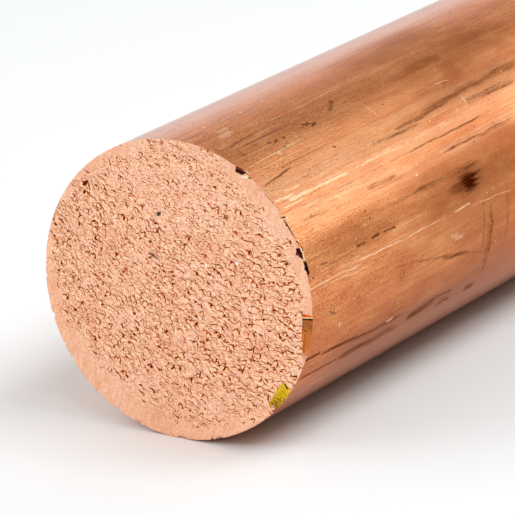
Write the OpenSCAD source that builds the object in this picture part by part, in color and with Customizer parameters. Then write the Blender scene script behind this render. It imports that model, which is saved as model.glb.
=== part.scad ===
// Round bar of solid copper: a length of drawn stock, sawn square at both ends.
// It lies on its barrel along X, with the origin on the floor under its middle and +Z up.
// The end at -X is the one with the damaged rim; the damage is on its -Y side.

/* [Bar] */
// Diameter of the bar
bar_d = 50.8; // [25:0.1:150]
// Length of the bar, from one sawn end to the other
bar_length = 304.8; // [60:0.1:1000]
// Width of the worn edge round each sawn end
edge_break = 0.3; // [0.1:0.05:1]

/* [Chipped edge] */
// How far the chip reaches in from the barrel across the sawn end
chip_reach = 2.25; // [0.5:0.05:4]
// How far the chip reaches back along the barrel
chip_depth = 0.25; // [0.1:0.05:1]
// Angle of the chip's upper end round the rim, up from the -Y side, in degrees
chip_angle = 0; // [-60:1:60]

/* [Dents in the rim] */
// Angle of the upper dent round the rim, up from the -Y side, in degrees
upper_dent_angle = 60; // [30:1:90]
// Radius of the upper dent
upper_dent_r = 1.2; // [0.3:0.1:3]
// Angle of the lower dent round the rim, up from the -Y side, in degrees
lower_dent_angle = 24; // [0:1:60]
// Radius of the lower dent
lower_dent_r = 0.9; // [0.3:0.1:3]

/* [Hidden] */
bar_r = bar_d / 2;
cut_over = 1;      // how far a cutting shape runs past the surface that it cuts
smooth = 96;       // facets of the round shapes in a preview

// Half of the bar's lengthwise section, from its axis out to the barrel
module bar_profile() {
    polygon([
        [0, 0],
        [bar_r - edge_break, 0],
        [bar_r, edge_break],
        [bar_r, bar_length - edge_break],
        [bar_r - edge_break, bar_length],
        [0, bar_length]
    ]);
}

// The whole bar before its rim was damaged, on its own axis from x = 0
module plain_bar() {
    rotate([0, 90, 0])
        rotate_extrude($fn = smooth)
            bar_profile();
}

// Turns its children round the bar's axis, up from the -Y side
module round_rim(angle) {
    rotate([-angle, 0, 0]) children();
}

// A flat bevel across the rim: it starts with a step, and runs out further down the round rim
module chip() {
    round_rim(chip_angle)
        mirror([0, 0, 1])
            linear_extrude(height = bar_r)
                polygon([
                    [-cut_over, chip_reach - bar_r],
                    [0, chip_reach - bar_r],
                    [chip_depth * (1 + cut_over / chip_reach), -bar_r - cut_over],
                    [-cut_over, -bar_r - cut_over]
                ]);
}

// A round dent, its centre on the rim's edge
module dent(angle, dent_r) {
    round_rim(angle)
        translate([0, -bar_r, 0])
            sphere(r = dent_r, $fn = smooth);
}

module round_bar() {
    color([0.82, 0.53, 0.36])
        translate([-bar_length / 2, 0, bar_r])
            difference() {
                plain_bar();
                chip();
                dent(upper_dent_angle, upper_dent_r);
                dent(lower_dent_angle, lower_dent_r);
            }
}

round_bar();
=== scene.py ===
"""Round bar of solid copper: its sawn end, its drawn barrel and the marks that handling left on both.

The bar lies along X. Lengths in the finish are in millimetres: "back" is the distance back from
the sawn end at -X, "across" and "up" are places on that end as someone facing it sees them, and
an angle goes up round the barrel from the side at -Y, so that 90 is the top.
"""

from math import atan2, cos, hypot, pi, radians, sin, tan

import bmesh
import bpy
from mathutils import Matrix, Vector


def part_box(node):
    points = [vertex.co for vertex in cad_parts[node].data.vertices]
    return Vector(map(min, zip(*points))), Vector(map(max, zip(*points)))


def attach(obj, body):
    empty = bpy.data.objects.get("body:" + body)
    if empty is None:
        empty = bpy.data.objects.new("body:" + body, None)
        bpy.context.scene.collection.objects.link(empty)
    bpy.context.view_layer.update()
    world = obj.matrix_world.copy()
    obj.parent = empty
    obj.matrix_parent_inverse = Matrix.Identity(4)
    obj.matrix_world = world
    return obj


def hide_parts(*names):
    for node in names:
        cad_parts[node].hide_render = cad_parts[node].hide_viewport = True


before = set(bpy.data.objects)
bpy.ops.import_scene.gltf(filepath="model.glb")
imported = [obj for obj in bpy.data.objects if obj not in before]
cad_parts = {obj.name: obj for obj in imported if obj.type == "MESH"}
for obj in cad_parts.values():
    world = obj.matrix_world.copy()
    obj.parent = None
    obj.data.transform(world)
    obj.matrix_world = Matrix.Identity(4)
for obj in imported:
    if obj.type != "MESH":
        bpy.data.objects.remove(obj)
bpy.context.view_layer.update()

# ---------------------------------------------------------------- sizes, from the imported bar
LOW, HIGH = (Vector(corner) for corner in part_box("round_bar"))
BAR_R = (HIGH.z - LOW.z) / 2
BAR_LENGTH = HIGH.x - LOW.x
FRONT, REAR = LOW.x, HIGH.x
AXIS_Z = LOW.z + BAR_R
MM = 0.001
R_MM = BAR_R / MM
PER_DEGREE = R_MM * pi / 180   # length round the barrel of one degree, in mm
EDGE_BREAK = 0.06 * MM         # worn edge round each sawn end
TEAR_DEPTH = 0.2               # how far the torn end is sunk at its middle height, in mm
RIM_BITE = 0.6                 # how deep the bites out of its lower rim go, in mm
SHARP_ANGLE = radians(40)      # faces that meet at more than this keep a sharp edge

# how finely the bar is divided
FRONT_RIM = 960                # corners round the end that shows its saw marks
REAR_RIM = 480                 # corners round the rest of the bar
RIM_STEPS = 8                  # rings close behind the front rim, where it is damaged
RIM_STEP = 0.3 * MM
BARREL_STEPS = 12              # rings along the rest of the barrel

# damage to the rim: the chip is a flat bevel that starts with a step level with the axis
CHIP_REACH = 1.8 * MM
CHIP_START = 0.25 * MM         # how deep it is along its inner side
CHIP_DEPTH = 0.35 * MM         # how deep it is at the barrel
CHIP_TURN = 3.0                # how far its inner side leans inwards, in degrees
CHIP_RUN_OUT = 0.75 * MM       # how much shallower it is at the level of the bar's lowest point
STEP_NEAR = 0.3 * MM           # how near the axis's level all of its step is
CUT_OVER = 1.0 * MM            # how far a cutting shape runs past what it cuts
# dents in the rim: angle, how far back the middle is, radius along the bar and round the rim
DENTS = (
    (61.5, 0.0, 0.5, 0.95),
    (23.8, 0.0, 0.45, 0.85),
    (17.7, 0.4, 0.4, 1.1),
)


# ---------------------------------------------------------------- nodes written as expressions
class Value:
    """One output of a node: arithmetic on it adds Math nodes to the same tree."""

    def __init__(self, tree, out):
        self.tree = tree
        self.out = out

    def maths(self, operation, *others):
        return self.tree.maths(operation, self, *others)

    def __add__(self, other):
        return self.maths("ADD", other)

    def __sub__(self, other):
        return self.maths("SUBTRACT", other)

    def __mul__(self, other):
        return self.maths("MULTIPLY", other)

    def __truediv__(self, other):
        return self.maths("DIVIDE", other)

    def __rsub__(self, other):
        return self.tree.maths("SUBTRACT", other, self)

    __radd__ = __add__
    __rmul__ = __mul__

    def clamped(self):
        return self.maths("MINIMUM", 1).maths("MAXIMUM", 0)

    def between(self, low, high):
        """0 at low and 1 at high, with a smooth rise between; low may be the larger."""
        return self.tree.node(
            "ShaderNodeMapRange",
            {"interpolation_type": "SMOOTHSTEP"},
            {"Value": self, "From Min": low, "From Max": high},
        )


class Tree:
    """A shader's or a modifier's node tree."""

    def __init__(self, tree):
        self.tree = tree

    def node(self, kind, settings=None, inputs=None, output=0):
        """Adds a node: its settings first, then the values or links of its sockets."""
        node = self.tree.nodes.new(kind)
        for name, setting in (settings or {}).items():
            setattr(node, name, setting)
        for socket, value in (inputs or {}).items():
            if isinstance(value, Value):
                self.tree.links.new(value.out, node.inputs[socket])
            else:
                node.inputs[socket].default_value = value
        if output is None:
            return node
        return Value(self, node.outputs[output])

    def maths(self, operation, *values):
        return self.node("ShaderNodeMath", {"operation": operation}, dict(enumerate(values)))

    def vectors(self, operation, *values, output=0):
        settings = {"operation": operation}
        return self.node("ShaderNodeVectorMath", settings, dict(enumerate(values)), output)

    def point(self, x, y, z=0.0):
        return self.node("ShaderNodeCombineXYZ", {}, {0: x, 1: y, 2: z})

    def parts(self, vector):
        node = self.node("ShaderNodeSeparateXYZ", {}, {0: vector}, None)
        return [Value(self, out) for out in node.outputs]

    def noise(self, place, detail=2.0, roughness=0.5, output=0):
        """Soft noise from 0 to 1, its blotches about 1 across; output 1 is three of them."""
        inputs = {"Vector": place, "Scale": 1.0, "Detail": detail, "Roughness": roughness}
        return self.node("ShaderNodeTexNoise", {}, inputs, output)

    def mix(self, factor, first, second):
        """A colour that goes from the first to the second as the factor goes from 0 to 1."""
        settings = {"data_type": "RGBA"}
        return self.node("ShaderNodeMix", settings, {0: factor, 6: first, 7: second}, 2)

    def spot(self, x, y, wide, high, lean=0.0):
        """Distance from a spot's middle in units of its half width and half height."""
        turned_x = x * cos(lean) + y * sin(lean)
        turned_y = y * cos(lean) - x * sin(lean)
        return self.vectors("LENGTH", self.point(turned_x / wide, turned_y / high), output=1)

    def marks(self, place, marks, fading=False):
        """A field that is each mark's strength along its middle line and 0 a width away.

        A mark is a straight run: where it starts and ends in the place's own units, its width
        to either side and its strength. Fading marks thin out towards both ends.
        """
        total = None
        for start, end, width, strength in marks:
            start = Vector((*start, 0))
            run = Vector((*end, 0)) - start
            away = self.vectors("SUBTRACT", place, tuple(start))
            along = self.vectors("DOT_PRODUCT", away, tuple(run / run.length_squared), output=1)
            along = along.clamped()
            nearest = self.node(
                "ShaderNodeVectorMath", {"operation": "SCALE"}, {0: tuple(run), "Scale": along}
            )
            gap = self.vectors("DISTANCE", away, nearest, output=1)
            mask = gap.between(width, 0) * strength
            if fading:
                mask = mask * (along - 0.5).maths("ABSOLUTE").between(0.52, 0.3)
            total = mask if total is None else total.maths("MAXIMUM", mask)
        return total


def colour(red, green, blue):
    """A colour given as it looks on a screen, from 0 to 255, as the shader wants it."""
    linear = [((c / 255 + 0.055) / 1.055) ** 2.4 for c in (red, green, blue)]
    return (*linear, 1.0)


def new_material(name):
    """An empty material, and its tree."""
    material = bpy.data.materials.new(name)
    material.use_nodes = True
    material.node_tree.nodes.clear()
    return material, Tree(material.node_tree)


def finish(tree, inputs):
    """Ends a material's tree with a plain surface that has these inputs."""
    shader = tree.node("ShaderNodeBsdfPrincipled", {}, inputs)
    tree.node("ShaderNodeOutputMaterial", {}, {"Surface": shader}, None)


# ---------------------------------------------------------------- the torn end
def scales(tree, across, up, long, wide, seed):
    """Torn scales of copper: how high each place stands, its cracks, its lit edge, a chance.

    The scales are long by wide, and their long sides lean down to the right, more so at the
    left. Each is a plate that falls away to its upper right, where the next one starts with
    a step: there it has a short curved crack, with a lit edge below it.
    """
    place = tree.point(across / (1.4 * wide), up / (1.4 * wide), seed)
    warp = tree.parts(tree.noise(place, 2.0, 0.55, output=1))
    across = across + (warp[0] - 0.5) * (1.4 * wide)
    up = up + (warp[1] - 0.5) * (1.4 * wide)
    along = (across * 0.8 - up * 0.6) / long
    over = (across * 0.57 + up * 0.82 - across * across * 0.0078) / wide
    place = tree.point(along, over + seed)
    settings = {"voronoi_dimensions": "2D"}
    cell = tree.node("ShaderNodeTexVoronoi", settings, {"Vector": place, "Scale": 1.0}, None)
    middle = Value(tree, cell.outputs["Position"])
    chance = tree.parts(Value(tree, cell.outputs["Color"]))
    settings = {"voronoi_dimensions": "2D", "feature": "DISTANCE_TO_EDGE"}
    edge = tree.node("ShaderNodeTexVoronoi", settings, {"Vector": place, "Scale": 1.0})
    offset = tree.parts(tree.vectors("SUBTRACT", place, middle))
    height = (chance[0] - 0.5) * 0.7 - offset[1]
    arc = offset[1].between(-0.05, 0.2) * offset[0].maths("ABSOLUTE").between(0.6, 0.3)
    crack = edge.between(chance[2] * 0.12 + 0.13, 0.04) * arc
    lit = edge.between(0.12, 0.2) * edge.between(0.36, 0.24) * arc
    return height, crack, lit, chance


# where the blade smeared the sawn end smooth: angle, spread to either side, how far in
RIM_SMEARS = (
    (10, 32, 2.5),
    (46, 28, 3.0),
    (121, 22, 1.5),
    (187, 26, 2.0),
    (238, 44, 4.4),
    (276, 36, 2.4),
)


def torn_face(tree, across, up):
    """The pattern of the sawn end, the same for its relief and for its colour."""
    radius = (across * across + up * up).maths("SQRT")
    drift = tree.noise(tree.point(across / 6, up / 6, 3.0), 2.0) - 0.5
    ragged = tree.noise(tree.point(across / 1.6, up / 1.6, 8.0), 3.0) - 0.5
    smear = 0.0
    for angle, spread, reach in RIM_SMEARS:
        toward = (across * cos(radians(angle)) + up * sin(radians(angle))) / radius
        band = toward.between(cos(radians(spread)), cos(radians(spread * 0.3))) * reach
        smear = band.maths("MAXIMUM", smear)
    rough = (R_MM - radius - smear + drift * 5.0 + ragged * 5.0).between(-1.6, 1.2)
    # the upper right is finer, the middle and the left are torn deepest
    fine_part = tree.spot(across - 3, up - 17, 15, 8).between(1.3, 0.6)
    bottom = (up + drift * 14).between(-11, -19)
    depth = 1 - 0.5 * bottom - 0.25 * fine_part
    smooth = 0.7 * (1 - rough)

    coarse, crack, edge, chance = scales(tree, across, up, 1.45, 1.05, 5.0)
    few = (chance[1] + drift - fine_part * 0.6 - bottom * 0.3 - smooth).between(0.26, 0.42)
    cracks = crack * few
    lit = edge * few
    middling, crack, edge, chance = scales(tree, across, up, 0.9, 0.7, 67.0)
    few = (chance[1] + ragged * 0.5 - bottom * 0.2 - smooth).between(0.34, 0.5)
    cracks = cracks.maths("MAXIMUM", crack * few * 0.9)
    lit = lit.maths("MAXIMUM", edge * few * 0.7)
    small, crack, edge, chance = scales(tree, across, up, 0.5, 0.4, 31.0)
    few = (chance[1] + ragged * 0.8 - smooth).between(0.5, 0.65)
    cracks = cracks.maths("MAXIMUM", crack * few * 0.6)

    plates = (
        coarse * (0.11 - 0.07 * fine_part) + middling * 0.06 + small * 0.03 + ragged * 0.06
    ) * rough * depth + drift * 0.2
    return plates, cracks, lit, rough


def face_place(tree, place):
    """Where a place is on the sawn end, in millimetres across and up from its middle."""
    _, y, z = tree.parts(place)
    return y * (-1 / MM), (z - AXIS_Z) / MM


# specks on the sawn end: across, up, half width, half height, lean in degrees
GREY_SPECKS = (
    (-3.4, 12.5, 0.5, 0.35, 40),
    (-4.6, 5.3, 0.5, 0.25, -25),
    (-3.8, 4.9, 0.6, 0.12, -35),
)
# painted glints on the sawn end, as small white spots with the same columns
GLINT_SPECKS = (
    (5.5, 5.2, 0.2, 0.25, 0),
    (11.3, 6.4, 0.35, 0.15, 0),
)
# the dab of yellow paint: across and up, half its length and width, its lean in degrees
PAINT_AT = (19.5, -14.8)
PAINT_HALF = (2.3, 1.0)
PAINT_LEAN = 57
BLADE_LEAN = radians(14)       # how far the blade's way across the sawn end leans


def speck_mask(tree, across, up, specks):
    """1 inside each speck and 0 outside."""
    total = None
    for x, y, wide, high, lean in specks:
        mask = tree.spot(across - x, up - y, wide, high, radians(lean)).between(1.15, 0.8)
        total = mask if total is None else total.maths("MAXIMUM", mask)
    return total


def paint_mask(tree, across, up):
    """A patch with four ragged sides."""
    lean = radians(PAINT_LEAN)
    x, y = across - PAINT_AT[0], up - PAINT_AT[1]
    along = (x * cos(lean) + y * sin(lean)) / PAINT_HALF[0]
    over = (y * cos(lean) - x * sin(lean)) / PAINT_HALF[1]
    return along.maths("ABSOLUTE").maths("MAXIMUM", over.maths("ABSOLUTE")).between(1.1, 0.95)


# dirt along the rim, painted shade in its dents and painted glints on its edges: how far back
# along the barrel (or, below 0, in across the end) and the angle where each starts, the same where
# it ends, the width to either side, the strength
RIM_GRIME_AND_SHADE = (
    (-0.5, 62.7, -0.1, 61.4, 0.5, 1.0),
    (-0.2, 61.8, 0.1, 59.8, 0.35, 0.9),
    (0.1, 60.4, 0.4, 59.0, 0.4, 0.8),
    (0.3, 66.0, 1.1, 65.4, 0.8, 0.3),
    (0.5, 64.5, 1.0, 62.0, 0.7, 0.25),
    (-0.2, 57.5, 0.1, 56.3, 0.25, 0.6),
    (-0.5, 52.5, -0.2, 50.3, 0.2, 0.25),
    (-0.15, 51.5, 0.0, 48.5, 0.4, 0.32),
    (-0.1, 48.5, 0.0, 44.4, 0.4, 0.38),
    (-0.05, 44.0, 0.0, 39.0, 0.3, 0.32),
    (0.2, 42.3, 0.7, 41.5, 0.25, 0.4),
    (-0.3, 38.2, 0.6, 37.7, 0.3, 0.6),
    (-0.25, 37.3, 0.1, 36.8, 0.25, 0.45),
    (-0.2, 36.0, 0.9, 35.2, 0.25, 0.35),
    (-0.1, 36.5, 0.0, 31.3, 0.4, 0.6),
    (0.0, 31.2, 0.2, 29.8, 0.4, 0.5),
    (0.1, 28.2, 0.6, 27.2, 0.25, 0.8),
    (-0.8, 23.6, -0.4, 24.6, 0.35, 0.6),
    (-0.35, 25.2, 0.2, 23.2, 0.45, 1.0),
    (-0.2, 22.5, 0.1, 21.7, 0.35, 1.0),
    (0.85, 27.5, 1.0, 23.8, 0.25, 0.5),
    (0.1, 20.2, 0.25, 15.4, 0.35, 1.0),
    (0.6, 19.6, 0.8, 15.8, 0.7, 0.4),
    (0.25, 15.2, 0.2, 11.8, 0.3, 0.45),
    (-1.4, -31.4, -0.8, -32.1, 0.3, 1.0),
)
RIM_GLINTS = (
    (-0.85, 60.0, -0.55, 58.7, 0.16, 0.9),
    (-0.55, 58.7, -0.15, 57.7, 0.2, 1.0),
    (0.65, 59.6, 0.85, 59.1, 0.32, 0.9),
    (0.7, 28.4, 0.85, 27.2, 0.2, 0.7),
    (0.7, 37.6, 1.0, 37.2, 0.2, 0.6),
    (0.4, 25.2, 0.6, 23.2, 0.22, 0.9),
    (0.6, 23.2, 0.4, 20.9, 0.24, 1.0),
)


def unrolled(marks):
    """Marks given by distance and angle, with the angle as length round the barrel."""
    for back, angle, back_2, angle_2, width, strength in marks:
        yield (back, angle * PER_DEGREE), (back_2, angle_2 * PER_DEGREE), width, strength


def add_rim_marks(tree, place, base):
    """Draws the dirt along the rim, the painted shade in its dents and its painted glints over a
    colour, the same way on all that meets there.
    """
    x, y, z = tree.parts(place)
    across, up = face_place(tree, place)
    radius = (across * across + up * up).maths("SQRT")
    grain = tree.noise(tree.point(x / (0.4 * MM), y / (0.4 * MM), z / (0.4 * MM)), 2.0) - 0.5
    out = (x - FRONT) / MM + radius - R_MM + grain * 0.3
    arc = barrel_place(tree, place)[1] * PER_DEGREE + grain * 0.3
    where = tree.point(out, arc)
    grime_and_shade = (tree.marks(where, unrolled(RIM_GRIME_AND_SHADE)) + grain * 0.6).between(0.2, 0.6)
    # dirt along the rim, and painted shade inside the dents
    base = tree.mix(grime_and_shade, base, colour(50, 10, 14))
    # painted glints: white crescents on the dents' edges and along the rim
    glints = (tree.marks(where, unrolled(RIM_GLINTS)) + grain * 0.6).between(0.3, 0.7)
    return tree.mix(glints, base, colour(255, 244, 208)), grime_and_shade


def sawn_copper():
    """Bright torn copper of the sawn ends."""
    material, tree = new_material("sawn_copper")
    place = tree.node("ShaderNodeTexCoord", output="Object")
    across, up = face_place(tree, place)
    plates, cracks, lit, rough = torn_face(tree, across, up)
    tone = tree.noise(tree.point(across / 5, up / 5, 20.0), 3.0) - 0.5
    grain = tree.noise(tree.point(across / 0.2, up / 0.2, 9.0), 3.0, 0.6) - 0.5
    mottle = tree.noise(tree.point(across / 0.6, up / 0.5, 27.0), 2.0) - 0.5
    # the smeared rim is streaked along the way the blade went
    along = up * cos(BLADE_LEAN) + across * sin(BLADE_LEAN)
    over = across * cos(BLADE_LEAN) - up * sin(BLADE_LEAN)
    streak = tree.noise(tree.point(over / 0.45, along / 3.5, 14.0), 3.0, 0.6)
    grainy = 0.35 + 0.65 * rough
    # the sawn end is painted lighter where its plates stand high and darker where they sink, partly
    # as oxide in the low places and partly as painted shade; grain, mottle and tone vary at random
    light = plates * 1.4 + (grain * 4.2 + mottle * 1.8) * grainy + tone * 0.6
    base = tree.mix(light.between(-0.75, 0.5), colour(220, 140, 102), colour(255, 220, 190))
    base = tree.mix((1 - rough) * streak.between(0.35, 0.7) * 0.5, base, colour(228, 156, 116))
    # a painted highlight along the lit edge below each crack
    base = tree.mix(lit * 0.7, base, colour(255, 216, 150))
    # the cracks are painted dark red-brown: painted shade in the crevices
    base = tree.mix(cracks.between(0.0, 0.35), base, colour(200, 84, 20))
    base = tree.mix(cracks.between(0.35, 0.85) * 0.9, base, colour(84, 12, 4))
    # the specks, the painted glints and the paint are on the first end only
    warp = grain * 0.6
    first = tree.parts(place)[0].between(0.1, -0.1)
    grey = speck_mask(tree, across + warp, up + warp, GREY_SPECKS) * first
    base = tree.mix(grey, base, colour(62, 54, 54))
    # painted glints: small white spots
    white = speck_mask(tree, across, up, GLINT_SPECKS) * first
    base = tree.mix(white, base, colour(250, 245, 245))
    ragged = mottle * 1.8 + grain * 0.7
    paint = paint_mask(tree, across + ragged * 1.8, up + ragged * 1.2) * first
    paint_tone = (grain * 0.8 + mottle * 1.2 + tone + (up + 15) * 0.12).between(-0.3, 0.2)
    base = tree.mix(paint, base, tree.mix(paint_tone, colour(104, 74, 4), colour(226, 184, 14)))
    base, grime_and_shade = add_rim_marks(tree, place, base)
    relief = plates * 0.5 - cracks * 0.2 + grain * 0.2 * rough + (streak - 0.5) * 0.1 * (1 - rough)
    bump = tree.node("ShaderNodeBump", {}, {"Height": relief, "Strength": 0.6, "Distance": 0.4 * MM})
    finish(tree, {
        "Base Color": base,
        "Metallic": 1 - paint.maths("MAXIMUM", grey),
        "Specular Tint": colour(255, 160, 110),
        "Roughness": 0.55 + grain * 0.3,
        "Normal": bump,
    })
    return material


# ---------------------------------------------------------------- the drawn barrel
def barrel_place(tree, place):
    """Millimetres back from the sawn end, and degrees up round the barrel from the -Y side."""
    x, y, z = tree.parts(place)
    from_top = tree.maths("ARCTAN2", y * -1, z - AXIS_Z) * (180 / pi)
    return (x - FRONT) / MM, 90 - from_top


# marks on the barrel: back and angle where each starts, the same where it ends, width, strength
PALE_MARKS_AND_HIGHLIGHTS = (
    # scratches along the bar
    (-4, 10.4, 19, 9.3, 0.3, 0.8),
    (14, 11.2, 33, 9.6, 0.33, 0.9),
    (0, 9.0, 21, 6.8, 0.25, 0.6),
    (27, 9.9, 52, 9.6, 0.25, 0.5),
    (48, 10.3, 55, 9.8, 0.4, 0.8),
    (53, 9.1, 70, 6.6, 0.25, 0.6),
    (-1, 60.1, 22, 62.8, 0.35, 0.75),
    (20, 62.6, 28, 62.8, 0.3, 0.5),
    (62, 58.8, 68, 57.1, 0.25, 0.6),
    # short ones across it
    (19.7, 67, 19.6, 63.3, 0.5, 0.7),
    (41.7, 65.3, 41.6, 55.6, 0.5, 0.6),
    (37.5, 64, 37.4, 57, 0.6, 0.25),
    (66.2, 49.7, 66.0, 44, 0.5, 0.7),
    (62.3, 45.8, 62.2, 43.9, 0.5, 0.6),
    (12.9, -13, 12.8, -21, 0.5, 0.35),
    (16.0, 47, 17.6, 42.5, 0.5, 0.5),
    # scuffs, pale streaks painted as highlight where the long highlight falls, and a painted glint
    # low on the side
    (0, 44.6, 7, 44.2, 0.5, 0.8),
    (3, 42.9, 13, 42.6, 0.7, 0.9),
    (0, 41.0, 9, 40.8, 0.4, 0.6),
    (4, 46.4, 10, 46, 0.4, 0.6),
    (10, 42.4, 24, 42.2, 0.7, 0.65),
    (20, 42.4, 66, 42.0, 0.7, 0.45),
    (10, 36.2, 40, 35.8, 1.0, 0.3),
    (5.6, 79.4, 10.6, 80.4, 1.3, 0.8),
    (7.4, 82.4, 11.4, 83.4, 1.2, 0.75),
    (2, 74, 5, 74, 1.2, 0.5),
    (13, 60, 16, 60, 1.2, 0.25),
    (1, 57, 9, 56, 1.2, 0.2),
    (46.4, 1.6, 50, 0.4, 0.9, 0.45),
    (47.6, 0.2, 51.6, -1.2, 1.1, 0.5),
    (27.3, -21.4, 30, -21.2, 0.6, 0.9),
    (9.2, -9.4, 10.0, -10.1, 0.6, 1.8),
    (67.1, 65, 67.4, 64.8, 0.7, 0.8),
)
DARK_MARKS = (
    # the row of dashes in the brown band
    (4.0, 16.1, 7.0, 16.1, 0.4, 0.7),
    (15.8, 16.1, 19.5, 16.1, 0.5, 1.0),
    (20.6, 16.1, 24.2, 16.1, 0.55, 1.05),
    (24.6, 16.1, 29.8, 16.0, 0.45, 0.8),
    (32, 16, 36, 15.9, 0.5, 0.35),
    (13.9, 19.4, 14.2, 18.2, 0.7, 0.6),
    (16.8, 25, 17.0, 25, 0.6, 0.6),
    (41.7, 18.5, 44.3, 19.4, 0.4, 0.6),
    # long smears
    (16, 24.6, 40, 24.1, 0.8, 0.5),
    (34, 23.9, 63, 23.6, 1.4, 0.7),
    (33, 47.4, 52, 46.6, 1.0, 0.7),
    (41, 48.3, 57, 49.4, 1.2, 0.75),
    (50, 49.0, 69, 51.4, 1.1, 0.85),
    (62, 51.2, 90, 51.7, 1.4, 0.8),
    (63, 45.8, 86, 45.6, 1.4, 0.7),
    (38, 38.5, 70, 38.4, 0.4, 0.85),
    (10, 38.1, 30, 38.0, 0.3, 0.5),
    (3, 33.3, 14, 33.0, 0.5, 0.6),
    (24, 33.2, 36, 33.0, 0.9, 0.75),
    (47, 32.8, 80, 32.0, 0.7, 0.7),
    (0, 51, 12, 53.7, 0.4, 1.0),
    (32.5, 67.3, 37.7, 73.1, 0.9, 0.9),
    (66, 70, 73, 69, 2.0, 0.6),
    (64, 57.5, 68, 54.5, 2.4, 0.55),
    (76.3, 76, 77.5, 91, 0.8, 0.35),
    (77.7, 89, 82.7, 95, 1.3, 0.35),
    (40.8, 90, 41, 94, 1.0, 0.5),
    # scabs and pits
    (23.4, 68.0, 27.2, 66.0, 0.35, 1.3),
    (24.2, 65.8, 25.8, 68.4, 0.35, 1.3),
    (25.0, 65.2, 27.6, 66.6, 0.4, 1.2),
    (22.6, 66.6, 24.2, 66.8, 0.4, 1.0),
    (11.8, 67.0, 13.2, 66.2, 0.4, 1.2),
    (13.4, 65.6, 15.4, 66.4, 0.4, 1.2),
    (12.6, 65.2, 13.4, 65.8, 0.4, 0.9),
    (9.2, 68.6, 9.4, 68.6, 0.8, 1.0),
    (5, 70.8, 4.5, 64.8, 0.5, 0.9),
    (11.8, 58.6, 13, 59.6, 1.0, 0.45),
    (34, 47.6, 35.2, 47.4, 1.3, 0.6),
    (82.2, 70, 82.5, 70, 1.5, 0.7),
    (69.8, 34.3, 69.8, 32.4, 0.7, 0.6),
    (69.8, 30, 69.9, 28.9, 0.9, 0.6),
    # smears low on the side
    (-2, -17.9, 6, -17.9, 0.7, 1.1),
    (4, -18.6, 19, -20.8, 0.9, 0.95),
    (14, -21.3, 35, -22.5, 0.8, 0.95),
    (27, -18.9, 34, -18.4, 0.5, 0.7),
    (20, -16.2, 33, -15.4, 0.6, 0.4),
    (-1, -26.8, 15, -26.9, 0.7, 1.0),
    (11, -27.2, 36, -27.6, 1.8, 0.8),
    (35, -27.0, 47, -24, 2.2, 0.9),
    (40, -23.4, 53, -24.9, 0.8, 0.9),
    (47, -28, 53, -28.6, 1.6, 0.8),
    (57, -28.4, 61.5, -29, 1.5, 1.0),
    # the slanting scratch and the bands across the bar
    (25, 2.2, 46, -5.6, 0.35, 0.75),
    (42.5, -4.8, 55.5, -9.7, 0.9, 0.9),
    (52, -8.8, 60, -12.6, 0.4, 0.7),
    (58.8, 12, 58.8, -15.5, 0.8, 0.6),
    (61, 9, 62.3, -28, 1.2, 0.75),
    (60.4, 1, 61.3, -22, 3.0, 0.5),
    (67.3, 12, 67.8, -16, 1.5, 0.5),
)
# small rings: back, angle, radius
RING_MARKS = (
    (6.6, -1.8, 0.65),
    (15.4, -3.8, 0.5),
    (29.8, -3.0, 0.7),
)
# soft patches of tarnish, some of them painted shade that dims the side and its highlight further
# back: back, angle, half length, half width, strength
TARNISH_AND_SHADE = (
    (60, 17, 34, 4.5, 0.55),
    (58, 5, 34, 5.5, 0.45),
    (60, -14, 34, 6.0, 0.35),
    (62, 26, 36, 4.5, 0.5),
    (20, 20, 24, 3.4, 0.4),
    (30, 69, 50, 3.6, 0.15),
    (52, 38, 26, 7.0, 0.18),
    (64, 86, 10, 5.0, 0.45),
    (58.8, -1, 0.6, 6.5, 0.4),
    (61.3, -8, 1.3, 8.5, 0.5),
    (67.6, -2, 1.1, 7.0, 0.4),
    (70, 62, 5.0, 5.5, 0.5),
    (75, 68, 22, 5.0, 0.4),
    (70, 52, 22, 4.0, 0.4),
    (50, -12, 24, 5.0, 0.1),
    (28, -29, 24, 5.0, 0.55),
    (50, -29, 30, 5.5, 0.6),
    (48, -38, 60, 5.0, 0.35),
    (70, 88, 22, 4.5, 0.5),
    (66, 70, 9, 3.0, 0.5),
)
# short scratches that cross the drawn lines: lean in degrees, spacing
SLANTS = (
    (14, 0.5),
    (-22, 0.6),
)
HIGHLIGHT_BAND_ANGLE = 43              # middle of the paler band painted along the upper side where the long highlight falls
BURN_BACK, BURN_ANGLE = 55.4, 18


def tarnish_and_shade_mask(tree, back, arc, uneven):
    """How much each place is tarnished and given painted shade."""
    total = None
    for at, angle, half_length, half_width, strength in TARNISH_AND_SHADE:
        away = tree.spot(back - at, arc - angle * PER_DEGREE, half_length, half_width)
        mask = (away + uneven).between(1.3, 0.2) * strength
        total = mask if total is None else total.maths("MAXIMUM", mask)
    return total


def pit_masks(tree, x, y, z, dust, sizes):
    """Dark specks, and painted glints as pale specks: each size's spacing along and round, its
    largest, how dark.
    """
    specks, glint_flecks = 0.0, 0.0
    for spaced, high, largest, amount in sizes:
        settings = {"Vector": tree.point(x / spaced, y / high, z / high), "Scale": 1.0}
        pits = tree.node("ShaderNodeTexVoronoi", {}, settings, None)
        chance = tree.parts(Value(tree, pits.outputs["Color"]))
        size = chance[0] * chance[0] * largest
        pit = (Value(tree, pits.outputs["Distance"]) + dust * 0.12 - size).between(0.05, 0.0)
        pit = pit * (chance[1] * 0.6 + 0.3) * amount
        pale = chance[2].between(0.62, 0.64)
        specks = (pit * (1 - pale)).maths("MAXIMUM", specks)
        glint_flecks = (pit * pale).maths("MAXIMUM", glint_flecks)
    return specks, glint_flecks


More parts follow.
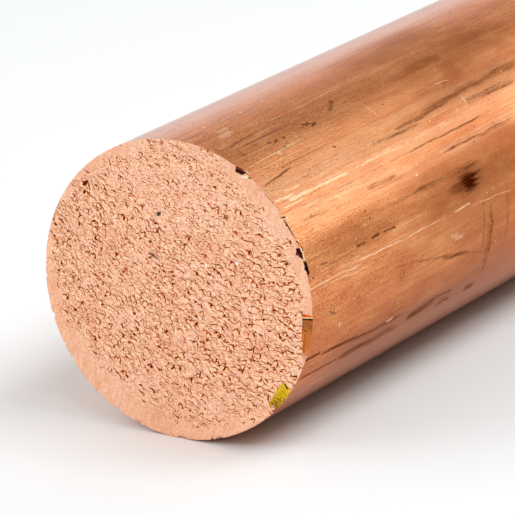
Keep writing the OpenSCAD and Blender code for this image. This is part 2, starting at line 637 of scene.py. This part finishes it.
def burn_masks(tree, back, arc, fine, crumbs, streak):
    """The burn with its tail towards the sawn end, and the brown halo round it."""
    x = back - BURN_BACK
    y = arc - BURN_ANGLE * PER_DEGREE
    burn = tree.spot(x + fine * 14 + crumbs * 4, y + crumbs, 3.3, 1.9)
    tail = tree.spot(x + 3 + fine * 10 + crumbs * 4, y + streak * 2, 4.4, 0.9)
    burnt = burn.between(1.3, 0.4).maths("MAXIMUM", tail.between(1.1, 0.6) * 0.5)
    halo = tree.spot(x - 0.6, y, 6.0, 3.0).between(1.3, 0.3)
    return burnt, halo


def drawn_copper():
    """Tarnished copper of the barrel, drawn through a die along its length."""
    material, tree = new_material("drawn_copper")
    place = tree.node("ShaderNodeTexCoord", output="Object")
    x, y, z = tree.parts(place)
    x, y, z = x / MM, y / MM, z / MM
    back, angle = barrel_place(tree, place)
    arc = angle * PER_DEGREE

    cloud = tree.noise(tree.point(x / 26, y / 7, z / 7), 4.0, 0.6) - 0.5
    streak = tree.noise(tree.point(x / 60, y / 1.5, z / 1.5), 3.0, 0.55) - 0.5
    fine = tree.noise(tree.point(x / 9, y / 0.3, z / 0.3), 3.0, 0.65) - 0.5
    dust = tree.noise(tree.point(x / 0.35, y / 0.22, z / 0.22), 3.0, 0.6) - 0.5
    blotch = tree.noise(tree.point(x / 7, y / 3.5, z / 3.5), 3.0, 0.6) - 0.5

    # the finest marks show most near the sawn end and high on the side
    near = back.between(50, 5) * 0.7 + 0.45
    near = near + 0.5 * angle.between(58, 80)
    tone = cloud * 0.7 + streak * 0.3 + blotch * 0.75 + (fine * 0.75 + dust * 1.9) * near
    tone = tone.between(-0.5, 0.5)
    base = tree.mix(tone, colour(192, 98, 35), colour(248, 171, 103))
    # a paler band along its upper side: a painted highlight where the long highlight falls
    highlight_band = (arc - HIGHLIGHT_BAND_ANGLE * PER_DEGREE + cloud * 8).maths("ABSOLUTE").between(9, 3)
    highlight_band = highlight_band * (back.between(65, 15) * 0.15 + 0.2 + streak + fine * 0.9).clamped()
    base = tree.mix(highlight_band, base, colour(226, 174, 132))

    # a pale film along its top, partly dust and partly a painted reflection of the white backdrop,
    # and darker olive low on its side
    top = angle.between(150, 125)
    top_dust_and_sheen = angle.between(80, 108) * top * (0.5 + cloud + blotch * 0.6)
    base = tree.mix(top_dust_and_sheen.clamped(), base, colour(206, 186, 172))
    low = angle.between(-11, -24) * (back.between(6, 18) * 0.4 + 0.2 + cloud * 0.6).clamped()
    base = tree.mix(low, base, colour(146, 94, 46))

    # hair scratches: thin wandering lines, dark where they are deep and light beside that
    wander = tree.noise(tree.point(x / 110, y / 1.1, z / 1.1 + 30), 1.0, 0.4) - 0.5
    line = wander.maths("ABSOLUTE")
    some = (cloud + fine * 1.2).between(-0.06, 0.12)
    hair = line.between(0.02, 0.006) * some
    base = tree.mix(hair * 0.55 * near, base, colour(122, 60, 26))
    shine = (wander - 0.045).maths("ABSOLUTE").between(0.02, 0.006) * some
    base = tree.mix(shine * 0.35 * near, base, colour(255, 214, 172))

    # tarnish, with painted shade where the side and its highlight dim further back
    tarnish_and_shade = tarnish_and_shade_mask(tree, back, arc, streak * 0.8 + cloud * 1.4)
    base = tree.mix(tarnish_and_shade, base, colour(124, 60, 24))

    # short scratches that slant across the drawn lines, in patches
    for lean, spaced in SLANTS:
        across = arc * cos(radians(lean)) - back * sin(radians(lean))
        along = back * cos(radians(lean)) + arc * sin(radians(lean))
        weave = tree.noise(tree.point(along / 9, across / spaced, lean), 1.0, 0.4) - 0.5
        nick = weave.maths("ABSOLUTE").between(0.014, 0.004)
        nick = nick * (blotch * 2 - fine).between(0.05, 0.25)
        base = tree.mix(nick * 0.55 * near, base, colour(116, 58, 28))

    # small pits and specks scattered all over, and finer ones towards the sawn end
    handled = 0.12 * angle.between(50, 65) * back.between(40, 15)
    sizes = ((2.6, 1.9, handled + 0.1, 1.0), (1.2, 0.8, 0.17, near * 0.8))
    specks, glint_flecks = pit_masks(tree, x, y, z, dust, sizes)
    base = tree.mix(specks.clamped(), base, colour(96, 44, 22))
    # the pale ones are painted glints
    base = tree.mix(glint_flecks.clamped(), base, colour(255, 226, 178))

    # the marks that show one by one, broken up along the bar
    wave = tree.noise(tree.point(x / 5, y / 3, z / 3), 2.0, output=1)
    shift = tree.vectors("MULTIPLY_ADD", wave, (1.0, 0.8, 0.0), (-0.5, -0.4, 0.0))
    spot = tree.vectors("ADD", tree.point(back, arc), shift)
    crumbs = tree.noise(tree.point(x / 0.9, y / 0.22, z / 0.22), 3.0, 0.6) - 0.5
    field = tree.marks(spot, unrolled(DARK_MARKS), fading=True)
    scratchy = crumbs + fine * 2.2
    dark = (field + scratchy).between(0.15, 1.25) * field.between(0, 0.6) * (streak + 0.85)
    for at, angle_at, ring in RING_MARKS:
        away = tree.spot(back - at, arc - angle_at * PER_DEGREE, ring, ring) + crumbs - 1
        dark = dark.maths("MAXIMUM", away.maths("ABSOLUTE").between(0.4, 0.1) * 0.35)
    field = tree.marks(spot, unrolled(PALE_MARKS_AND_HIGHLIGHTS), fading=True)
    light = (field + crumbs * 1.2 + fine).between(0.15, 1.0) * field.between(0, 0.4) * 0.7
    burnt, halo = burn_masks(tree, back, arc, fine, crumbs, streak)
    base = tree.mix(dark, base, colour(72, 38, 26))
    base = tree.mix(halo * 0.5, base, colour(120, 58, 18))
    base = tree.mix(burnt, base, colour(46, 13, 1))
    # pale scratches and scuffs, with painted highlights and a painted glint
    base = tree.mix(light, base, colour(255, 222, 180))
    base, grime_and_shade = add_rim_marks(tree, place, base)

    # a thin clear shine lies over the copper where it is clean
    dirt_and_shade = dark.maths("MAXIMUM", burnt).maths("MAXIMUM", grime_and_shade)
    bare = (1 - tarnish_and_shade * angle.between(-25, 10) * 0.8) * (1 - dirt_and_shade)
    shiny = 0.64 - 0.1 * angle.between(0, -25) + 0.36 * angle.between(75, 105) * top
    relief = streak * 0.3 + fine * 0.4 - hair * 0.5 - specks * 0.6
    bump = tree.node("ShaderNodeBump", {}, {"Height": relief, "Strength": 0.35, "Distance": 0.1 * MM})
    finish(tree, {
        "Base Color": base,
        "Metallic": 1.0,
        "Roughness": (0.26 + cloud * 0.1 + streak * 0.1 + dark * 0.2 + tarnish_and_shade * 0.1).clamped(),
        "Specular Tint": colour(255, 190, 160),
        "Coat Weight": bare * shiny,
        "Coat Roughness": 0.22,
        "Normal": bump,
    })
    return material


def chipped_copper():
    """Smooth darker copper where the rim broke away."""
    material, tree = new_material("chipped_copper")
    place = tree.node("ShaderNodeTexCoord", output="Object")
    x = tree.parts(place)[0]
    across, up = face_place(tree, place)
    smear = tree.noise(tree.point(x / (0.3 * MM), across / 0.5, up / 2.0), 3.0) - 0.5
    patches = tree.noise(tree.point(across / 0.45, up / 0.5, 6.0), 3.0, 0.6) - 0.5
    base = tree.mix(smear.between(-0.2, 0.2), colour(180, 92, 36), colour(212, 124, 64))
    # it gets lighter as it runs out downwards and browner under its step, where bands of painted
    # shadow, highlight and reflection lie
    base = tree.mix((up + patches * 4).between(-5.8, -8.2), base, colour(242, 182, 150))
    base = tree.mix((up + smear * 4).between(-3.4, -1.6), base, colour(166, 98, 50))
    stained = patches.between(0.02, 0.16) * up.between(-4.6, -2.4)
    base = tree.mix(stained * 0.8, base, colour(96, 34, 12))
    # right under the step: a painted shadow, a painted highlight above it and a painted deep orange
    # reflection against the step
    below_step = up + patches * 0.5 - (across - 24.6) * 0.14
    dark = below_step.between(-0.98, -0.88) * below_step.between(-0.62, -0.72) * (patches + 0.5).between(0.3, 0.5)
    base = tree.mix(dark, base, colour(44, 16, 8))
    base = tree.mix(below_step.between(-0.66, -0.56), base, colour(255, 222, 160))
    base = tree.mix(below_step.between(-0.5, -0.42), base, colour(222, 84, 22))
    # the dents higher up are painted dark: painted shade inside them
    base = tree.mix(up.between(1, 2), base, colour(104, 54, 34))
    base = add_rim_marks(tree, place, base)[0]
    finish(tree, {"Base Color": base, "Metallic": 1.0, "Roughness": 0.35})
    return material


# ---------------------------------------------------------------- the bar's mesh
def pick(piece, test):
    """Selects the corners whose place passes the test, and what they span."""
    mesh = bmesh.from_edit_mesh(piece.data)
    for part in (*mesh.faces, *mesh.edges):
        part.select = False
    for vertex in mesh.verts:
        vertex.select = test(vertex.co)
    mesh.select_flush_mode()
    bmesh.update_edit_mesh(piece.data)


def off_axis(place):
    """How far a place is from the bar's axis."""
    return hypot(place[1], place[2] - AXIS_Z)


def extrude_along(step):
    """Extrudes the open loop that is selected by one step along the bar."""
    bpy.ops.mesh.extrude_edges_move(TRANSFORM_OT_translate={"value": (step, 0, 0)})


def open_out(x, ratio):
    """Widens the loop that is selected about the bar's axis."""
    bpy.ops.transform.resize(value=(1, ratio, ratio), center_override=(x, 0, AXIS_Z))


def add_rim(x, corners):
    """Adds the inner ring of a worn edge, in the plane of a sawn end."""
    bpy.ops.mesh.primitive_circle_add(
        vertices=corners,
        radius=BAR_R - EDGE_BREAK,
        fill_type="NOTHING",
        location=(x, 0, AXIS_Z),
        rotation=(0, -pi / 2, 0),
    )


def bar_mesh():
    """The plain bar: two sawn ends of small square faces, joined by the barrel."""
    bpy.ops.object.select_all(action="DESELECT")
    add_rim(FRONT, FRONT_RIM)
    piece = bpy.context.object
    piece.name = "round_bar_finished"
    bpy.ops.object.transform_apply(location=True, rotation=True, scale=True)
    bpy.ops.object.mode_set(mode="EDIT")
    bpy.ops.mesh.select_mode(type="VERT")
    widen = BAR_R / (BAR_R - EDGE_BREAK)
    face_edge = (BAR_R - EDGE_BREAK) * (1 - 1e-5)

    bpy.ops.mesh.select_all(action="SELECT")
    bpy.ops.mesh.fill_grid(span=FRONT_RIM // 4)
    pick(piece, lambda co: off_axis(co) > face_edge)
    extrude_along(EDGE_BREAK)
    open_out(FRONT + EDGE_BREAK, widen)
    for _ in range(RIM_STEPS):
        extrude_along(RIM_STEP)
    front_end = FRONT + EDGE_BREAK + RIM_STEPS * RIM_STEP

    bpy.ops.mesh.select_all(action="DESELECT")
    add_rim(REAR, REAR_RIM)
    bpy.ops.mesh.fill_grid(span=REAR_RIM // 4)
    pick(piece, lambda co: co.x > REAR - EDGE_BREAK / 2 and off_axis(co) > face_edge)
    extrude_along(-EDGE_BREAK)
    open_out(REAR - EDGE_BREAK, widen)
    barrel_step = (REAR - EDGE_BREAK - front_end) / BARREL_STEPS
    for _ in range(BARREL_STEPS - 1):
        extrude_along(-barrel_step)

    bpy.ops.mesh.select_all(action="DESELECT")
    bpy.ops.mesh.select_non_manifold()
    bpy.ops.mesh.bridge_edge_loops()
    bpy.ops.mesh.select_all(action="SELECT")
    bpy.ops.mesh.normals_make_consistent(inside=False)
    bpy.ops.object.mode_set(mode="OBJECT")
    return piece


def add_relief(piece):
    """Raises and sinks the sawn end as the blade tore it, and nibbles its lower rim."""
    group = bpy.data.node_groups.new("torn_end_relief", "GeometryNodeTree")
    group.interface.new_socket("Geometry", in_out="INPUT", socket_type="NodeSocketGeometry")
    group.interface.new_socket("Geometry", in_out="OUTPUT", socket_type="NodeSocketGeometry")
    tree = Tree(group)
    bar = tree.node("NodeGroupInput")
    place = tree.node("GeometryNodeInputPosition")
    x, y, z = tree.parts(place)
    across, up = face_place(tree, place)
    plates = torn_face(tree, across, up)[0]
    on_face = tree.maths("LESS_THAN", x, FRONT + EDGE_BREAK / 2)
    radius = (across * across + up * up).maths("SQRT")
    inside = radius.between(R_MM + 0.5, R_MM - 3)
    sink = ((TEAR_DEPTH - plates) * inside * on_face).maths("MAXIMUM", 0)
    # a burr and small bites round the left and lower rim
    bites = tree.noise(tree.point(across / 1.3, up / 1.3, 50.0), 3.0, 0.7).between(0.5, 0.7)
    lower_left = (across * -0.6 - up * 0.8).between(5, 18)
    near_rim = x.between(FRONT + 2 * RIM_STEP, FRONT)
    pull = bites * lower_left * near_rim * radius.between(R_MM - 0.8, R_MM - 0.1)
    pull = pull * (RIM_BITE / R_MM)
    moved = tree.node(
        "GeometryNodeSetPosition",
        {},
        {
            "Geometry": bar,
            "Offset": tree.point(sink * MM, y * pull * -1, (z - AXIS_Z) * pull * -1),
        },
    )
    tree.node("NodeGroupOutput", {}, {0: moved}, None)
    modifier = piece.modifiers.new("torn_end_relief", "NODES")
    modifier.node_group = group
    bpy.ops.object.modifier_apply(modifier=modifier.name)


def give_materials(piece):
    """The two sawn ends and the front one's worn edge are torn, and the rest is drawn."""
    piece.data.materials.clear()
    for material in (drawn_copper(), sawn_copper()):
        piece.data.materials.append(material)
    for face in piece.data.polygons:
        on_end = off_axis(face.center) < BAR_R - EDGE_BREAK
        on_front_edge = face.center.x < FRONT + EDGE_BREAK
        face.material_index = 1 if on_end or on_front_edge else 0


def cut_away(piece, cutter, material):
    """Takes the cutter's shape out of the piece, its cut faces in the given material."""
    cutter.data.materials.append(material)
    bpy.ops.object.select_all(action="DESELECT")
    piece.select_set(True)
    bpy.context.view_layer.objects.active = piece
    modifier = piece.modifiers.new("cut", "BOOLEAN")
    modifier.operation = "DIFFERENCE"
    modifier.solver = "EXACT"
    modifier.material_mode = "TRANSFER"
    modifier.object = cutter
    bpy.ops.object.modifier_apply(modifier=modifier.name)
    bpy.data.objects.remove(cutter)


def chip_cutter():
    """A block whose one side slants, so that it bevels the rim below the axis."""
    inner, outer = -BAR_R + CHIP_REACH, -BAR_R - CUT_OVER
    front, back = FRONT - CUT_OVER, FRONT + CHIP_START
    bpy.ops.object.select_all(action="DESELECT")
    bpy.ops.mesh.primitive_cube_add(
        size=1,
        location=((front + back) / 2, (inner + outer) / 2, AXIS_Z - BAR_R / 2),
        scale=(back - front, inner - outer, BAR_R),
    )
    cutter = bpy.context.object
    bpy.ops.object.transform_apply(location=True, rotation=True, scale=True)
    bpy.ops.object.mode_set(mode="EDIT")
    pick(cutter, lambda co: co.x > FRONT and co.y < (inner + outer) / 2)
    slant = (CHIP_DEPTH - CHIP_START) * (1 + CUT_OVER / CHIP_REACH)
    bpy.ops.transform.translate(value=(slant, 0, 0))
    pick(cutter, lambda co: co.x > FRONT and co.z < AXIS_Z - BAR_R / 2)
    bpy.ops.transform.translate(value=(-CHIP_RUN_OUT, 0, 0))
    # the inner side leans inwards as it goes down, and the step stays level
    pick(cutter, lambda co: co.y > (inner + outer) / 2 and co.z < AXIS_Z - BAR_R / 2)
    bpy.ops.transform.translate(value=(0, BAR_R * tan(radians(CHIP_TURN)), 0))
    bpy.ops.object.mode_set(mode="OBJECT")
    return cutter


def dent_cutter(angle, back, along, around):
    """A lump centred on the barrel's surface at this angle, at the rim or a little behind it."""
    turn = radians(angle)
    bpy.ops.object.select_all(action="DESELECT")
    bpy.ops.mesh.primitive_uv_sphere_add(
        segments=24,
        ring_count=16,
        radius=MM,
        location=(FRONT + back * MM, -BAR_R * cos(turn), AXIS_Z + BAR_R * sin(turn)),
        rotation=(-turn, 0, 0),
        scale=(along, 0.8, around),
    )
    cutter = bpy.context.object
    bpy.ops.object.transform_apply(location=True, rotation=True, scale=True)
    return cutter


# where the map lays the flat parts of the surface: half the patch's size, and its middle
FRONT_PATCH = (0.245, 0.25, 0.75)
REAR_PATCH = (0.12, 0.63, 0.63)
STEP_PATCH = (0.02, 0.8, 0.9)
# bottom and height of the unrolled barrel, which is as wide as the map
BARREL_BOTTOM, BARREL_HIGH = 0.01, 0.48


def laid_flat(patch, sideways, upward):
    """A place on a patch, each way in units of half its size from its middle."""
    half, middle, height = patch
    return middle + sideways * half, height + upward * half


def map_surface(piece):
    """A UV map with the sawn ends laid flat, and the barrel unrolled from a seam underneath."""
    mesh = piece.data
    for layer in list(mesh.uv_layers):
        mesh.uv_layers.remove(layer)
    layer = mesh.uv_layers.new(name="OFBake")
    names = [material.name for material in mesh.materials]
    for face in mesh.polygons:
        corners = [(i, mesh.vertices[mesh.loops[i].vertex_index].co) for i in face.loop_indices]
        kind = names[face.material_index]
        level = abs(face.normal.z) > 0.7 and abs(face.center.z - AXIS_Z) < STEP_NEAR
        if kind == "chipped_copper" and level:
            for i, co in corners:
                back, inwards = (co.x - FRONT) / CHIP_REACH, (co.y + BAR_R) / CHIP_REACH
                layer.uv[i].vector = laid_flat(STEP_PATCH, back, inwards)
        elif kind == "drawn_copper" and abs(face.normal.x) < 0.5:
            turns = [(atan2(-co.y, AXIS_Z - co.z) / (2 * pi)) % 1 for _, co in corners]
            wraps = max(turns) - min(turns) > 0.5
            for (i, co), turn in zip(corners, turns):
                turn += 1 if wraps and turn < 0.5 else 0
                high = BARREL_BOTTOM + turn * BARREL_HIGH
                layer.uv[i].vector = ((co.x - FRONT) / BAR_LENGTH, high)
        else:
            patch, side = (FRONT_PATCH, -1) if face.center.x < 0 else (REAR_PATCH, 1)
            for i, co in corners:
                layer.uv[i].vector = laid_flat(patch, side * co.y / BAR_R, (co.z - AXIS_Z) / BAR_R)


# ---------------------------------------------------------------- the studio
FACE_MIDDLE = Vector((FRONT, 0, AXIS_Z))
VIEW_TURN = radians(-59.34)    # round from a view along +Y
VIEW_TILT = radians(17.8)      # down at the bar
VIEW_DISTANCE = 28.41 * BAR_R
VIEW_RIGHT = 0.518 * BAR_R     # how far right of the face's middle the picture's middle is
VIEW_UP = 0.212 * BAR_R
LENS = 310.65
SENSOR = 36.0
LAMP_AIM = FACE_MIDDLE + Vector((30 * MM, 0, 0))
LAMP_DISTANCE = 1.0
FLOOR_SIZE = 6.0
FLOOR_COLOUR = (0.92, 0.94, 0.95, 1)
LOW_LIGHT = 1.5                # strength of the plain light from low down
HIGH_DIM = 0.4                 # how much the backdrop loses higher up


def add_camera():
    """Looks along the bar from in front of the damaged end, a little from above."""
    back = Vector((
        sin(VIEW_TURN) * cos(VIEW_TILT),
        -cos(VIEW_TURN) * cos(VIEW_TILT),
        sin(VIEW_TILT),
    ))
    right = Vector((0, 0, 1)).cross(back).normalized()
    above = back.cross(right)
    data = bpy.data.cameras.new("camera")
    data.lens = LENS
    data.sensor_width = SENSOR
    camera = bpy.data.objects.new("camera", data)
    bpy.context.collection.objects.link(camera)
    turned = Matrix((right, above, back)).transposed().to_4x4()
    target = FACE_MIDDLE + VIEW_RIGHT * right + VIEW_UP * above
    camera.matrix_world = Matrix.Translation(target + VIEW_DISTANCE * back) @ turned
    bpy.context.scene.camera = camera


def add_softbox(name, direction, upward, width, height, brightness):
    """A soft lamp that faces the bar's front part; brightness 1 looks white."""
    data = bpy.data.lights.new(name, "AREA")
    data.shape = "RECTANGLE"
    data.size = width
    data.size_y = height
    data.energy = brightness * pi * width * height
    lamp = bpy.data.objects.new(name, data)
    bpy.context.collection.objects.link(lamp)
    direction = Vector(direction).normalized()
    side = Vector(upward).cross(direction).normalized()
    turned = Matrix((side, direction.cross(side), direction)).transposed().to_4x4()
    lamp.matrix_world = Matrix.Translation(LAMP_AIM + LAMP_DISTANCE * direction) @ turned
    lamp.visible_camera = False


def seen_white(tree):
    """1 for what the camera sees, straight or mirrored in the bar, and 0 for plain light."""
    rays = tree.node("ShaderNodeLightPath", output=None)
    seen = Value(tree, rays.outputs["Is Camera Ray"])
    seen = seen + Value(tree, rays.outputs["Is Glossy Ray"])
    seen = (seen + Value(tree, rays.outputs["Is Transmission Ray"])).clamped()
    return seen * (1 - Value(tree, rays.outputs["Diffuse Depth"])).clamped()


def add_world():
    """A white backdrop, dimmer high up; the plain light comes from low down at the back."""
    world = bpy.data.worlds.new("studio")
    bpy.context.scene.world = world
    world.use_nodes = True
    world.node_tree.nodes.clear()
    tree = Tree(world.node_tree)
    _, y, z = tree.parts(tree.node("ShaderNodeTexCoord", output="Generated"))
    backdrop = 1 - z.between(0.1, 0.5) * HIGH_DIM
    plain = z.between(0.12, 0.35) * z.between(0.9, 0.6) * y.between(-0.95, -0.1) * LOW_LIGHT
    strength = plain + (backdrop - plain) * seen_white(tree)
    inputs = {"Color": (1, 1, 1, 1), "Strength": strength}
    light = tree.node("ShaderNodeBackground", {}, inputs)
    tree.node("ShaderNodeOutputWorld", {}, {"Surface": light}, None)


def add_floor():
    """A sheet of white paper that keeps the bar's shadow."""
    bpy.ops.object.select_all(action="DESELECT")
    bpy.ops.mesh.primitive_plane_add(size=FLOOR_SIZE, location=(0, 0, LOW.z))
    floor = bpy.context.object
    floor.name = "floor"
    material, tree = new_material("white_paper")
    paper = tree.node("ShaderNodeBsdfDiffuse", {}, {"Color": FLOOR_COLOUR})
    tree.node("ShaderNodeOutputMaterial", {}, {"Surface": paper}, None)
    floor.data.materials.append(material)


# ---------------------------------------------------------------- all together
bar = bar_mesh()
add_relief(bar)
give_materials(bar)
chipped = chipped_copper()
cut_away(bar, chip_cutter(), chipped)
for dent in DENTS:
    cut_away(bar, dent_cutter(*dent), chipped)
bpy.ops.object.shade_smooth_by_angle(angle=SHARP_ANGLE)
map_surface(bar)
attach(bar, "root")
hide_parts("round_bar")

add_floor()
add_world()
# two behind, mirrored in the barrel as its long highlight and its softer upper side
add_softbox("back_softbox", (0.819, -0.443, 0.364), (0, 0.63, 0.77), 0.5, 0.335, 0.85)
add_softbox("back_fill", (0.819, -0.17, 0.547), (0, 0.95, 0.3), 0.4, 0.36, 0.45)
# one overhead that throws the shadow, and two that light the sawn end
add_softbox("key_softbox", (0.16, -0.46, 0.85), (0, 0, 1), 0.6, 0.5, 5.3)
add_softbox("left_softbox", (-0.74, 0.5, 0.42), (0, 0, 1), 0.45, 0.45, 2.6)
add_softbox("front_softbox", (-0.45, -0.4, 0.8), (0, 0, 1), 0.4, 0.4, 2.4)
add_camera()
bpy.context.scene.view_settings.view_transform = "Standard"
